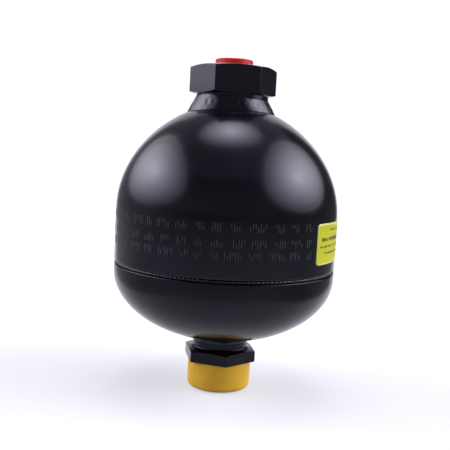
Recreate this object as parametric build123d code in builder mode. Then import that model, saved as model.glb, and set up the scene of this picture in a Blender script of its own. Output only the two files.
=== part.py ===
"""Welded diaphragm accumulator, stored on its gas end with both ports capped.

Units are millimetres. +Z runs along the vessel's axis from the gas end to the fluid port, and the
origin is the middle of the protective cap's underside, on which the accumulator stands.
"""

from build123d import *
import os
from math import cos, pi, radians, sin, sqrt, tan

# Vessel: two deep-drawn cups with half-elliptical ends, butt-welded near the gas end.
shell_diameter = 121.0
wall = 6.0
fluid_dome_depth = 57.4
fluid_skirt = 27.0
gas_dome_depth = 37.2
gas_skirt = 3.5
seam_width = 1.9
seam_recess = 0.55
seam_edge_chamfer = 0.4

# Fluid port: hexagon boss with a G 1/2 parallel thread, modelled at its minor diameter.
port_across_flats = 41.0
port_hex_height = 15.0
port_hex_chamfer_angle = 16.0
port_neck_diameter = 39.0
port_neck_height = 6.3
port_thread_minor = 18.631
port_thread_depth = 14.0
port_mouth_diameter = 21.4
port_mouth_depth = 1.0
oil_passage_diameter = 12.0
drill_point_angle = 118.0
port_weld_leg = 4.0
port_weld_throat = 1.3
port_weld_rise = 7.0

# Gas end: hexagon body with a male M28 x 1.5 charging stub, screwed plug and O-ring inside.
gas_across_flats = 36.0
gas_hex_height = 6.4
gas_hex_chamfer_angle = 12.0
gas_hex_turn = -25.2
gas_neck_diameter = 30.4
gas_neck_height = 5.7
gas_neck_fillet = 2.0
gas_thread_diameter = 27.9
gas_thread_length = 10.0
gas_thread_relief = 1.6
gas_thread_relief_depth = 1.1
gas_weld_leg = 2.0
gas_weld_rise = 2.4
charging_bore_diameter = 12.0
charging_bore_depth = 17.0
gas_passage_diameter = 3.0

charging_screw_length = 13.5
charging_screw_inset = 1.2
screw_nose_diameter = 7.3
screw_nose_length = 2.2
screw_socket_flats = 6.0
screw_socket_depth = 6.0
o_ring_section = 1.8

# Protective cap on the gas stub: the whole accumulator stands on it.
cap_diameter = 35.1
cap_base_diameter = 34.8
cap_height = 15.7
cap_wall = 3.2
cap_floor = 3.0
cap_corner_radius = 2.6
cap_rim_chamfer = 0.5

# Transport plug in the fluid port.
plug_head_diameter = 20.4
plug_stand_proud = 4.0
plug_stem_length = 9.0
plug_wall = 1.6
plug_rib_count = 48
plug_rib_depth = 0.3
plug_slot_width = 1.6
plug_slot_length = 14.0
plug_slot_depth = 1.4
plug_rim_chamfer = 0.5

# Diaphragm, its closing button and the ring that holds the bead.
diaphragm_thickness = 2.0
bead_width = 4.6
bead_height = 5.5
bead_corner = 1.5
button_diameter = 28.0
button_thickness = 3.0
button_edge_chamfer = 0.6
shank_diameter = 8.0
rivet_diameter = 16.0
rivet_thickness = 2.0
ring_foot_below_seam = 2.0
ring_band_above_seam = 2.6
ring_leg = 2.2
ring_chamfer = 1.0

# Label, wrapped round the straight part of the shell.
label_arc_length = 60.0
label_corner_radius = 2.0
label_thickness = 0.2
label_middle_angle = 71.2
label_bottom_margin = 5.8
label_top_margin = 0.1

# Clearances.
thread_clearance = 0.15
seat_clearance = 0.1
lining_clearance = 0.3
button_clearance = 0.3


def dome_z(radius, side_radius, depth, tangent_z, up):
    """Height of a half-elliptical dome's surface at a distance from the axis."""
    return tangent_z + up * depth * sqrt(1 - (radius / side_radius) ** 2)


def draw_dome(side_radius, depth, tangent_z, open_z, up):
    """Half outline of a domed vessel end: quarter ellipse, axis, open end and straight side.

    A three-point curve with a middle weight of the root of a half is an exact quarter ellipse.
    """
    pole_z = tangent_z + up * depth
    Bezier((side_radius, tangent_z), (side_radius, pole_z), (0, pole_z), weights=(1, sqrt(0.5), 1))
    Polyline((0, pole_z), (0, open_z), (side_radius, open_z), (side_radius, tangent_z))


def turned_hexagon(across_flats, height, base_z, top_angle, bottom_angle=0.0, turn=0.0):
    """Hexagon bar end whose top and bottom corners are turned back to cones, so flats end in arcs."""
    corner_radius = across_flats / sqrt(3)
    flat_radius = across_flats / 2
    top_drop = (corner_radius - flat_radius) * tan(radians(top_angle))
    bottom_drop = (corner_radius - flat_radius) * tan(radians(bottom_angle))
    with BuildPart() as hexagon:
        with BuildSketch(Plane.XY.offset(base_z)):
            RegularPolygon(corner_radius, 6, rotation=turn)
        extrude(amount=height)
        with BuildSketch(Plane.XZ):
            with BuildLine():
                Polyline(
                    (0, base_z),
                    (flat_radius, base_z),
                    (corner_radius, base_z + bottom_drop),
                    (corner_radius, base_z + height - top_drop),
                    (flat_radius, base_z + height),
                    (0, base_z + height),
                    close=True,
                )
            make_face()
        revolve(axis=Axis.Z, mode=Mode.INTERSECT)
    return hexagon.part


# Heights worked out from the gas end upwards.
shell_radius = shell_diameter / 2
inner_radius = shell_radius - wall
gas_hex_base = cap_height
gas_hex_top = gas_hex_base + gas_hex_height
gas_pole = gas_hex_top + gas_neck_height
gas_tangent = gas_pole + gas_dome_depth
seam_low = gas_tangent + gas_skirt
seam_high = seam_low + seam_width
seam_middle = (seam_low + seam_high) / 2
fluid_tangent = seam_high + fluid_skirt
fluid_pole = fluid_tangent + fluid_dome_depth
port_hex_base = fluid_pole + port_neck_height
port_face = port_hex_base + port_hex_height

fluid_inner_depth = fluid_dome_depth - wall
gas_inner_depth = gas_dome_depth - wall
port_neck_radius = port_neck_diameter / 2
gas_neck_radius = gas_neck_diameter / 2
port_seat = dome_z(port_neck_radius, inner_radius, fluid_inner_depth, fluid_tangent, 1)
gas_body_end = dome_z(gas_neck_radius, inner_radius, gas_inner_depth, gas_tangent, -1)


# Fluid-side shell: the deep cup, pierced for the port's neck.
with BuildPart() as fluid_side_shell:
    with BuildSketch(Plane.XZ):
        with BuildLine():
            draw_dome(shell_radius, fluid_dome_depth, fluid_tangent, seam_high, 1)
        make_face()
        with BuildLine():
            draw_dome(inner_radius, fluid_inner_depth, fluid_tangent, seam_high, 1)
        make_face(mode=Mode.SUBTRACT)
    revolve(axis=Axis.Z)
    with BuildSketch(Plane.XY.offset(fluid_tangent)):
        Circle(port_neck_radius)
    extrude(amount=fluid_pole - fluid_tangent, mode=Mode.SUBTRACT)
    mouth_edges = fluid_side_shell.edges().filter_by(GeomType.CIRCLE).group_by(Axis.Z)[0]
    chamfer(mouth_edges.sort_by(SortBy.RADIUS)[-1], seam_edge_chamfer)

# Gas-side shell: the shallow head, pierced for the gas body's neck.
with BuildPart() as gas_side_shell:
    with BuildSketch(Plane.XZ):
        with BuildLine():
            draw_dome(shell_radius, gas_dome_depth, gas_tangent, seam_low, -1)
        make_face()
        with BuildLine():
            draw_dome(inner_radius, gas_inner_depth, gas_tangent, seam_low, -1)
        make_face(mode=Mode.SUBTRACT)
    revolve(axis=Axis.Z)
    with BuildSketch(Plane.XY.offset(gas_pole)):
        Circle(gas_neck_radius)
    extrude(amount=gas_tangent - gas_pole, mode=Mode.SUBTRACT)
    mouth_edges = gas_side_shell.edges().filter_by(GeomType.CIRCLE).group_by(Axis.Z)[-1]
    chamfer(mouth_edges.sort_by(SortBy.RADIUS)[-1], seam_edge_chamfer)

# Girth weld: full-penetration seam whose crown lies just under the shell's surface.
with BuildPart() as girth_weld:
    with BuildSketch(Plane.XZ):
        with BuildLine():
            Polyline(
                (shell_radius - 2 * seam_recess, seam_low),
                (inner_radius, seam_low),
                (inner_radius, seam_high),
                (shell_radius - 2 * seam_recess, seam_high),
            )
            ThreePointArc(
                (shell_radius - 2 * seam_recess, seam_high),
                (shell_radius - seam_recess, seam_middle),
                (shell_radius - 2 * seam_recess, seam_low),
            )
        make_face()
    revolve(axis=Axis.Z)

# Fluid port: hexagon, neck set through the shell, threaded socket and oil passage.
port_hexagon = turned_hexagon(
    port_across_flats,
    port_hex_height,
    port_hex_base,
    port_hex_chamfer_angle,
    bottom_angle=port_hex_chamfer_angle,
)
thread_minor_radius = port_thread_minor / 2
oil_passage_radius = oil_passage_diameter / 2
thread_end = port_face - port_thread_depth
drill_point = (thread_minor_radius - oil_passage_radius) / tan(radians(drill_point_angle / 2))

with BuildPart() as fluid_port:
    add(port_hexagon)
    with BuildSketch(Plane.XY.offset(port_seat)):
        Circle(port_neck_radius)
    extrude(amount=port_hex_base - port_seat)
    with BuildSketch(Plane.XZ):
        with BuildLine():
            Polyline(
                (0, port_seat),
                (oil_passage_radius, port_seat),
                (oil_passage_radius, thread_end - drill_point),
                (thread_minor_radius, thread_end),
                (thread_minor_radius, port_face - port_mouth_depth),
                (port_mouth_diameter / 2, port_face - port_mouth_depth),
                (port_mouth_diameter / 2, port_face),
                (0, port_face),
                close=True,
            )
        make_face()
    revolve(axis=Axis.Z, mode=Mode.SUBTRACT)

# Fillet weld round the port's neck, bedded on the shell's crown.
port_weld_toe = port_neck_radius + port_weld_leg
port_weld_toe_z = dome_z(port_weld_toe, shell_radius, fluid_dome_depth, fluid_tangent, 1)
port_weld_root_z = dome_z(port_neck_radius, shell_radius, fluid_dome_depth, fluid_tangent, 1)
port_weld_middle = port_neck_radius + port_weld_leg / 2
port_weld_middle_z = dome_z(port_weld_middle, shell_radius, fluid_dome_depth, fluid_tangent, 1)
port_weld_top = port_weld_root_z + port_weld_rise

with BuildPart() as fluid_port_weld:
    with BuildSketch(Plane.XZ):
        with BuildLine():
            Polyline(
                (port_neck_radius, port_weld_root_z),
                (port_neck_radius, port_weld_top),
                (port_neck_radius + port_weld_throat, port_weld_top - port_weld_throat),
                (port_weld_toe, port_weld_toe_z),
            )
            ThreePointArc(
                (port_weld_toe, port_weld_toe_z),
                (port_weld_middle, port_weld_middle_z),
                (port_neck_radius, port_weld_root_z),
            )
        make_face()
    revolve(axis=Axis.Z)

# Transport plug: ribbed head standing proud of the port and a hollow stem in the thread.
plug_head_radius = plug_head_diameter / 2
plug_top = port_face + plug_stand_proud
plug_seat = port_face - port_mouth_depth
plug_stem_radius = thread_minor_radius - thread_clearance
plug_head_height = plug_top - plug_seat

with BuildPart() as port_plug:
    with BuildSketch(Plane.XY.offset(plug_seat)):
        Circle(plug_head_radius)
        with PolarLocations(plug_head_radius, plug_rib_count):
            Rectangle(2 * plug_rib_depth, pi * plug_head_diameter / plug_rib_count / 2, mode=Mode.SUBTRACT)
    extrude(amount=plug_head_height)
    with BuildSketch(Plane.XZ):
        with BuildLine():
            Polyline(
                (0, plug_seat),
                (plug_head_radius, plug_seat),
                (plug_head_radius, plug_top - plug_rim_chamfer),
                (plug_head_radius - plug_rim_chamfer, plug_top),
                (0, plug_top),
                close=True,
            )
        make_face()
    revolve(axis=Axis.Z, mode=Mode.INTERSECT)
    with BuildSketch(Plane.XY.offset(plug_seat)):
        Circle(plug_stem_radius)
    extrude(amount=-plug_stem_length)
    with BuildSketch(Plane.XY.offset(plug_seat - plug_stem_length)):
        Circle(plug_stem_radius - plug_wall)
    extrude(amount=plug_stem_length + plug_wall, mode=Mode.SUBTRACT)
    with BuildSketch(Plane.XY.offset(plug_top)):
        SlotOverall(plug_slot_length, plug_slot_width, rotation=90)
    extrude(amount=-plug_slot_depth, mode=Mode.SUBTRACT)

# Gas body: hexagon, neck set through the shell, male charging stub and stepped bore.
gas_hexagon = turned_hexagon(
    gas_across_flats, gas_hex_height, gas_hex_base, gas_hex_chamfer_angle, turn=gas_hex_turn
)
gas_thread_radius = gas_thread_diameter / 2
gas_stub_end = gas_hex_base - gas_thread_length
charging_bore_radius = charging_bore_diameter / 2
charging_bore_end = gas_stub_end + charging_bore_depth

with BuildPart() as gas_valve_body:
    add(gas_hexagon)
    with BuildSketch(Plane.XY.offset(gas_hex_top)):
        Circle(gas_neck_radius)
    extrude(amount=gas_body_end - gas_hex_top)
    neck_edges = gas_valve_body.edges().filter_by(GeomType.CIRCLE).group_by(SortBy.RADIUS)[0]
    fillet(neck_edges.sort_by(Axis.Z)[0], gas_neck_fillet)
    with BuildSketch(Plane.XY.offset(gas_stub_end)):
        Circle(gas_thread_radius)
    extrude(amount=gas_thread_length)
    chamfer(
        gas_valve_body.edges().filter_by(GeomType.CIRCLE).group_by(Axis.Z)[0],
        gas_thread_relief_depth,
    )
    with BuildSketch(Plane.XY.offset(gas_hex_base)):
        Circle(gas_thread_radius)
        Circle(gas_thread_radius - gas_thread_relief_depth, mode=Mode.SUBTRACT)
    extrude(amount=-gas_thread_relief, mode=Mode.SUBTRACT)
    with BuildSketch(Plane.XY.offset(gas_stub_end)):
        Circle(charging_bore_radius)
    extrude(amount=charging_bore_depth, mode=Mode.SUBTRACT)
    with BuildSketch(Plane.XY.offset(charging_bore_end)):
        Circle(gas_passage_diameter / 2)
    extrude(amount=gas_body_end - charging_bore_end, mode=Mode.SUBTRACT)

# Fillet weld round the gas neck, bedded on the head's crown.
gas_weld_toe = gas_neck_radius + gas_weld_leg
gas_weld_toe_z = dome_z(gas_weld_toe, shell_radius, gas_dome_depth, gas_tangent, -1)
gas_weld_root_z = dome_z(gas_neck_radius, shell_radius, gas_dome_depth, gas_tangent, -1)
gas_weld_middle = gas_neck_radius + gas_weld_leg / 2
gas_weld_middle_z = dome_z(gas_weld_middle, shell_radius, gas_dome_depth, gas_tangent, -1)

with BuildPart() as gas_valve_weld:
    with BuildSketch(Plane.XZ):
        with BuildLine():
            Polyline(
                (gas_neck_radius, gas_weld_root_z),
                (gas_neck_radius, gas_weld_root_z - gas_weld_rise),
                (gas_weld_toe, gas_weld_toe_z),
            )
            ThreePointArc(
                (gas_weld_toe, gas_weld_toe_z),
                (gas_weld_middle, gas_weld_middle_z),
                (gas_neck_radius, gas_weld_root_z),
            )
        make_face()
    revolve(axis=Axis.Z)

# Charging screw: socket-headed, with a nose that carries the O-ring.
screw_start = gas_stub_end + charging_screw_inset
screw_shoulder = screw_start + charging_screw_length
screw_radius = charging_bore_radius - thread_clearance
nose_radius = screw_nose_diameter / 2

with BuildPart() as charging_screw:
    with BuildSketch(Plane.XY.offset(screw_start)):
        Circle(screw_radius)
    extrude(amount=charging_screw_length)
    with BuildSketch(Plane.XY.offset(screw_shoulder)):
        Circle(nose_radius)
    extrude(amount=screw_nose_length)
    with BuildSketch(Plane.XY.offset(screw_start)):
        RegularPolygon(screw_socket_flats / sqrt(3), 6)
    extrude(amount=screw_socket_depth, mode=Mode.SUBTRACT)
    chamfer(charging_screw.edges().filter_by(GeomType.CIRCLE).group_by(Axis.Z)[-1], screw_nose_length / 4)

# O-ring between the screw's shoulder and the end of the bore.
o_ring_radius = nose_radius + seat_clearance + o_ring_section / 2
with BuildPart() as charging_o_ring:
    with BuildSketch(Plane.XZ):
        with Locations((o_ring_radius, screw_shoulder + seat_clearance + o_ring_section / 2)):
            Circle(o_ring_section / 2)
    revolve(axis=Axis.Z)

# Protective cap: moulded cup, slightly tapered, with a rounded bottom corner.
cap_inner_radius = gas_thread_radius + thread_clearance
with BuildPart() as protective_cap:
    with BuildSketch(Plane.XZ):
        with BuildLine():
            Polyline(
                (0, 0),
                (cap_base_diameter / 2, 0),
                (cap_diameter / 2, cap_height),
                (cap_inner_radius, cap_height),
                (cap_inner_radius, cap_floor),
                (0, cap_floor),
                close=True,
            )
        make_face()
        fillet(
            vertices().filter_by(lambda v: abs(v.Y) < 0.01).sort_by(Axis.X)[-1],
            cap_corner_radius,
        )
    revolve(axis=Axis.Z)
    rim_edges = protective_cap.edges().filter_by(GeomType.CIRCLE).group_by(Axis.Z)[-1]
    chamfer(rim_edges.sort_by(SortBy.RADIUS)[-1], cap_rim_chamfer)

# Retaining ring: a band behind the seam and a leg that clamps the diaphragm's bead.
ring_radius = inner_radius - seat_clearance
bead_inner = inner_radius - lining_clearance - bead_width
ring_bottom = seam_low - ring_foot_below_seam
ring_shelf = seam_high + ring_band_above_seam
leg_outer = bead_inner - seat_clearance
ring_bore = leg_outer - ring_leg
bead_top = ring_shelf + seat_clearance + bead_height

with BuildPart() as retaining_ring:
    with BuildSketch(Plane.XZ):
        with BuildLine():
            Polyline(
                (ring_radius - ring_chamfer, ring_bottom),
                (ring_radius, ring_bottom + ring_chamfer),
                (ring_radius, ring_shelf),
                (leg_outer, ring_shelf),
                (leg_outer, bead_top - ring_chamfer),
                (ring_bore + ring_chamfer, bead_top),
                (ring_bore, bead_top - ring_chamfer),
                (ring_bore, ring_shelf - ring_leg),
                (leg_outer, ring_bottom),
                close=True,
            )
        make_face()
    revolve(axis=Axis.Z)

# Diaphragm: a rubber cup that lines the fluid-side shell, with a bead at its rim and a pocket and
# hole for the closing button.
lining_radius = inner_radius - lining_clearance
lining_depth = fluid_inner_depth - lining_clearance
button_top = port_seat - button_clearance
pocket_floor = button_top - button_thickness - seat_clearance
centre_underside = pocket_floor - diaphragm_thickness
bead_bottom = ring_shelf + seat_clearance
bead_middle = lining_radius - bead_width / 2

with BuildPart() as diaphragm:
    with BuildSketch(Plane.XZ):
        with BuildLine():
            draw_dome(lining_radius, lining_depth, fluid_tangent, bead_top, 1)
        make_face()
        with BuildLine():
            draw_dome(
                lining_radius - diaphragm_thickness,
                lining_depth - diaphragm_thickness,
                fluid_tangent,
                bead_top,
                1,
            )
        make_face(mode=Mode.SUBTRACT)
    revolve(axis=Axis.Z)
    with BuildSketch(Plane.XY.offset(centre_underside)):
        Circle(button_diameter / 2 + diaphragm_thickness)
    extrude(amount=button_top - centre_underside)
    with BuildSketch(Plane.XY.offset(button_top)):
        Circle(shell_radius)
    extrude(amount=fluid_pole - button_top, mode=Mode.SUBTRACT)
    with BuildSketch(Plane.XY.offset(pocket_floor)):
        Circle(button_diameter / 2 + seat_clearance)
    extrude(amount=button_top - pocket_floor, mode=Mode.SUBTRACT)
    with BuildSketch(Plane.XY.offset(centre_underside)):
        Circle(shank_diameter / 2 + seat_clearance)
    extrude(amount=diaphragm_thickness, mode=Mode.SUBTRACT)
    with BuildSketch(Plane.XZ):
        with Locations((bead_middle, (bead_bottom + bead_top) / 2)):
            RectangleRounded(bead_width, bead_height, bead_corner)
    revolve(axis=Axis.Z)

# Closing button: a plate in the diaphragm's pocket, riveted through its middle.
button_underside = button_top - button_thickness
rivet_top = centre_underside - seat_clearance
with BuildPart() as closing_button:
    with BuildSketch(Plane.XY.offset(button_underside)):
        Circle(button_diameter / 2)
    extrude(amount=button_thickness)
    chamfer(closing_button.edges().group_by(Axis.Z)[-1], button_edge_chamfer)
    with BuildSketch(Plane.XY.offset(button_underside)):
        Circle(shank_diameter / 2)
    extrude(amount=rivet_top - button_underside)
    with BuildSketch(Plane.XY.offset(rivet_top)):
        Circle(rivet_diameter / 2)
    extrude(amount=-rivet_thickness)
    chamfer(closing_button.edges().group_by(Axis.Z)[0], button_edge_chamfer)

# Label: thin rounded rectangle, wrapped round the shell.
label_half_angle = label_arc_length / shell_radius / 2
label_chord = 2 * (shell_radius + label_thickness) * sin(label_half_angle)
label_bottom = seam_high + label_bottom_margin
label_height = fluid_skirt - label_bottom_margin - label_top_margin
label_middle_z = label_bottom + label_height / 2
label_direction = Vector(sin(radians(label_middle_angle)), -cos(radians(label_middle_angle)), 0)
label_plane = Plane(
    origin=(0, 0, label_middle_z),
    x_dir=(-label_direction.Y, label_direction.X, 0),
    z_dir=label_direction,
)

with BuildPart() as label:
    with BuildSketch(Plane.XY.offset(label_bottom)):
        Circle(shell_radius + label_thickness)
        Circle(shell_radius, mode=Mode.SUBTRACT)
    extrude(amount=label_height)
    with BuildSketch(label_plane):
        RectangleRounded(label_chord, label_height, label_corner_radius)
    extrude(amount=shell_diameter, mode=Mode.INTERSECT)


os.makedirs("parts", exist_ok=True)
pieces = {
    "fluid_side_shell": fluid_side_shell,
    "gas_side_shell": gas_side_shell,
    "girth_weld": girth_weld,
    "fluid_port": fluid_port,
    "fluid_port_weld": fluid_port_weld,
    "port_plug": port_plug,
    "gas_valve_body": gas_valve_body,
    "gas_valve_weld": gas_valve_weld,
    "charging_screw": charging_screw,
    "charging_o_ring": charging_o_ring,
    "protective_cap": protective_cap,
    "retaining_ring": retaining_ring,
    "diaphragm": diaphragm,
    "closing_button": closing_button,
    "label": label,
}
for name, piece in pieces.items():
    piece.part.label = name
    export_step(piece.part, f"parts/{name}.step")
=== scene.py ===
import math

import bmesh
import bpy
import numpy as np
from mathutils import Matrix, Vector


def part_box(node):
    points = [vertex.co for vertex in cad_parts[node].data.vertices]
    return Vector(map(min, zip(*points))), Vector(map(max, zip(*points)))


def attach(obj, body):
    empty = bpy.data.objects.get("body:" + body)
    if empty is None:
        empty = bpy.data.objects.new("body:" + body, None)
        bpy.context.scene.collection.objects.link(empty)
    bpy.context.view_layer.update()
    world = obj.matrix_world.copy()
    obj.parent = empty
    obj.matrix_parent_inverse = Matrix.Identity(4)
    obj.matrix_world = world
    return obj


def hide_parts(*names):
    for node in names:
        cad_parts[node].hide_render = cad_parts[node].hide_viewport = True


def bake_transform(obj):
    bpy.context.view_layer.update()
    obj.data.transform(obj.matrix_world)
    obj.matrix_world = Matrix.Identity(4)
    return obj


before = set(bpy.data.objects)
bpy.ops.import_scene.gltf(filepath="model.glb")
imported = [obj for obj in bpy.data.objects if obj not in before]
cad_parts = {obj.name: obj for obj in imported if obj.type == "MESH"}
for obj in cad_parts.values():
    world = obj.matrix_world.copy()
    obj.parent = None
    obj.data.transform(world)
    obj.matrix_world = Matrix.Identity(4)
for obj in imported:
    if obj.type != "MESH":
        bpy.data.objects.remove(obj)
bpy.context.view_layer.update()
mm = 0.001
sharp = 0.01 * mm  # the round left on an edge that is meant to look sharp


def roundedLoop(corners, radii, steps, reach=0.45):
    # A closed outline whose corners are swapped for arcs. Each arc starts and ends where a circle of
    # the wanted radius touches the two sides, and turns about that circle's centre.
    # corners: outline points x columns x (r, z); radii: one for each corner; reach: the most of a
    # side that one arc may take. No such circle fits a straight corner: its points come out as NaN,
    # so its faces are missing in a render, and the export puts its points at the origin.
    corners = np.asarray(corners, float)
    before = np.roll(corners, 1, axis=0) - corners
    after = np.roll(corners, -1, axis=0) - corners
    beforeLength = np.linalg.norm(before, axis=-1)
    afterLength = np.linalg.norm(after, axis=-1)
    before /= beforeLength[..., None]
    after /= afterLength[..., None]
    halfAngle = np.arccos(np.clip((before * after).sum(-1), -1, 1)) / 2
    cut = np.asarray(radii, float)[:, None] / np.tan(halfAngle)
    cut = np.minimum(cut, reach * np.minimum(beforeLength, afterLength))
    radius = cut * np.tan(halfAngle)
    middle = before + after
    middle /= np.linalg.norm(middle, axis=-1)[..., None]
    centre = corners + middle * (radius / np.sin(halfAngle))[..., None]
    start = corners + before * cut[..., None] - centre
    end = corners + after * cut[..., None] - centre
    turn = np.pi - 2 * halfAngle
    share = np.linspace(0, 1, steps)[None, :, None]
    startWeight = np.sin((1 - share) * turn[:, None]) / np.sin(turn[:, None])
    endWeight = np.sin(share * turn[:, None]) / np.sin(turn[:, None])
    arcs = centre[:, None] + startWeight[..., None] * start[:, None]
    arcs = arcs + endWeight[..., None] * end[:, None]
    return arcs.reshape(-1, corners.shape[1], 2)


def spin(section, angles):
    # Each point of a section at distance r from the axis and height z goes to (r cos a, r sin a, z).
    # section: rows x columns x (r, z), with one column for each angle, or a single one for them all.
    section = np.broadcast_to(section, (section.shape[0], len(angles), 2))
    radius, height = section[..., 0], section[..., 1]
    return np.stack([radius * np.cos(angles), radius * np.sin(angles), height], axis=-1)


def skin(name, points, closeRows=True, merge=1e-6):
    # Joins each point of a rows x columns grid to its neighbours by quads. The columns close into a
    # ring, and the rows do where asked. Points nearer to each other than merge, in metres, join.
    rows, columns = points.shape[:2]
    index = np.arange(rows * columns).reshape(rows, columns)
    index = np.vstack([index, index[:1]]) if closeRows else index
    index = np.hstack([index, index[:, :1]])
    quads = np.stack([index[:-1, :-1], index[:-1, 1:], index[1:, 1:], index[1:, :-1]], axis=-1)
    mesh = bpy.data.meshes.new(name)
    mesh.from_pydata(points.reshape(-1, 3).tolist(), [], quads.reshape(-1, 4).tolist())
    tidyMesh = bmesh.new()
    tidyMesh.from_mesh(mesh)
    bmesh.ops.remove_doubles(tidyMesh, verts=tidyMesh.verts, dist=merge)
    bmesh.ops.dissolve_degenerate(tidyMesh, edges=tidyMesh.edges, dist=merge)
    bmesh.ops.recalc_face_normals(tidyMesh, faces=tidyMesh.faces)
    tidyMesh.to_mesh(mesh)
    tidyMesh.free()
    mesh.shade_smooth()
    piece = bpy.data.objects.new(name, mesh)
    bpy.context.scene.collection.objects.link(piece)
    return piece


def weightNormals(piece):
    # Large faces lead the shading, so the small rounds at their edges stay crisp.
    weighting = piece.modifiers.new("face weights", "WEIGHTED_NORMAL")
    weighting.weight = 100
    weighting.keep_sharp = True


def dress(piece, slotName, material, *nodes, body="vessel"):
    piece.data.materials.clear()
    piece.data.materials.append(material)
    if body:
        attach(piece, body)
    if nodes:
        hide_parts(*nodes)


def roundAngles(count):
    return np.linspace(0, 2 * np.pi, count, endpoint=False)


def hexagonAngles(turn, perSide):
    # Angles round a hexagon, closer together towards its corners: sine spacing over each flat.
    flats = np.arange(6)[:, None] * np.pi / 3
    spread = np.pi / 6 * np.sin(np.linspace(-1, 1, perSide, endpoint=False) * np.pi / 2)
    return (flats + spread[None, :]).ravel() + turn


def hexagonRadius(angles, turn, flatRadius, sharpness):
    # Distance from the axis to a hexagon: flatRadius over the cosine of the angle from each flat, the
    # six joined by a power mean, so a high power keeps the corners sharp.
    facing = np.cos(angles[None, :] - turn - np.arange(6)[:, None] * np.pi / 3)
    return flatRadius / (np.maximum(facing, 0) ** sharpness).sum(0) ** (1 / sharpness)


def domeArc(radius, depth, tangentZ, fromRadius, toRadius, count, up):
    # A quarter of an ellipse: r = radius cos t, z = tangentZ + depth sin t, between two distances
    # from the axis.
    start, stop = np.arccos(fromRadius / radius), np.arccos(toRadius / radius)
    t = np.linspace(start, stop, count)
    return np.stack([radius * np.cos(t), tangentZ + up * depth * np.sin(t)], axis=-1)


def waves(angles, seed, lowest, highest, count):
    # Smooth closed noise round the axis: a few sine waves of random phase, at most about 1 high,
    # each with a whole number of turns from lowest up to, but not including, highest.
    random = np.random.default_rng(seed)
    turns = random.integers(lowest, highest, count)
    phases = random.uniform(0, 2 * np.pi, count)
    weights = random.uniform(0.4, 1, count)
    weights /= weights.sum()
    return (weights[:, None] * np.sin(turns[:, None] * angles + phases[:, None])).sum(0)


def nodeMaterial(name):
    material = bpy.data.materials.new(name)
    material.use_nodes = True
    tree = material.node_tree
    shader = next(node for node in tree.nodes if node.type == "BSDF_PRINCIPLED")
    place = tree.nodes.new("ShaderNodeTexCoord")
    return material, tree, shader, place.outputs["Object"]


noiseSpan = (0.3, 0.7)  # most of a noise texture's values lie between these


def addNoise(tree, place, scale, detail, roughness=0.5, stretch=None):
    # scale: about how many lumps there are in a metre; stretch: how much finer it is on each axis.
    noise = tree.nodes.new("ShaderNodeTexNoise")
    noise.inputs["Scale"].default_value = scale
    noise.inputs["Detail"].default_value = detail
    noise.inputs["Roughness"].default_value = roughness
    if stretch:
        mapping = tree.nodes.new("ShaderNodeMapping")
        mapping.inputs["Scale"].default_value = stretch
        tree.links.new(place, mapping.inputs["Vector"])
        place = mapping.outputs["Vector"]
    tree.links.new(place, noise.inputs["Vector"])
    return noise.outputs["Fac"]


def addRange(tree, value, low, high, toLow, toHigh):
    span = tree.nodes.new("ShaderNodeMapRange")
    span.inputs["From Min"].default_value = low
    span.inputs["From Max"].default_value = high
    span.inputs["To Min"].default_value = toLow
    span.inputs["To Max"].default_value = toHigh
    tree.links.new(value, span.inputs["Value"])
    return span.outputs["Result"]


def addMix(tree, factor, first, second):
    mix = tree.nodes.new("ShaderNodeMix")
    mix.data_type = "RGBA"
    tree.links.new(factor, mix.inputs["Factor"])
    for socket, colour in ((mix.inputs[6], first), (mix.inputs[7], second)):
        if isinstance(colour, tuple):
            socket.default_value = (*colour, 1)
        else:
            tree.links.new(colour, socket)
    return mix.outputs[2]


def addBump(tree, shader, layers):
    # Each layer is (height, depth in metres); they are added one on another.
    normal = None
    for height, depth in layers:
        bump = tree.nodes.new("ShaderNodeBump")
        bump.inputs["Strength"].default_value = 1
        bump.inputs["Distance"].default_value = depth
        tree.links.new(height, bump.inputs["Height"])
        if normal:
            tree.links.new(normal, bump.inputs["Normal"])
        normal = bump.outputs["Normal"]
    tree.links.new(normal, shader.inputs["Normal"])


paintFinish = {
    "darkest": (0.0010, 0.0011, 0.0024),
    "lightest": (0.0030, 0.0033, 0.0060),
    "dust": (0.11, 0.11, 0.125),
    "dustSpan": (0.83, 0.87),
    "cloudSpan": (0.35, 0.65),
    "tint": (0.80, 0.81, 1.0),
    "roughness": (0.17, 0.21),
    "ior": 1.42,
    "peelDepth": 0.012 * mm,
    "grainDepth": 0.004 * mm,
    "rougher": 0.0,
    "brushing": 0.0,
}
undersideFinish = paintFinish | {"ior": 1.31}
weldFinish = paintFinish | {"rougher": 0.05}
machinedFinish = paintFinish | {"roughness": (0.11, 0.15), "ior": 1.5, "peelDepth": 0.004 * mm}
turnedFinish = paintFinish | {"ior": 1.28, "rougher": 0.02, "brushing": 0.02 * mm}


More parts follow.
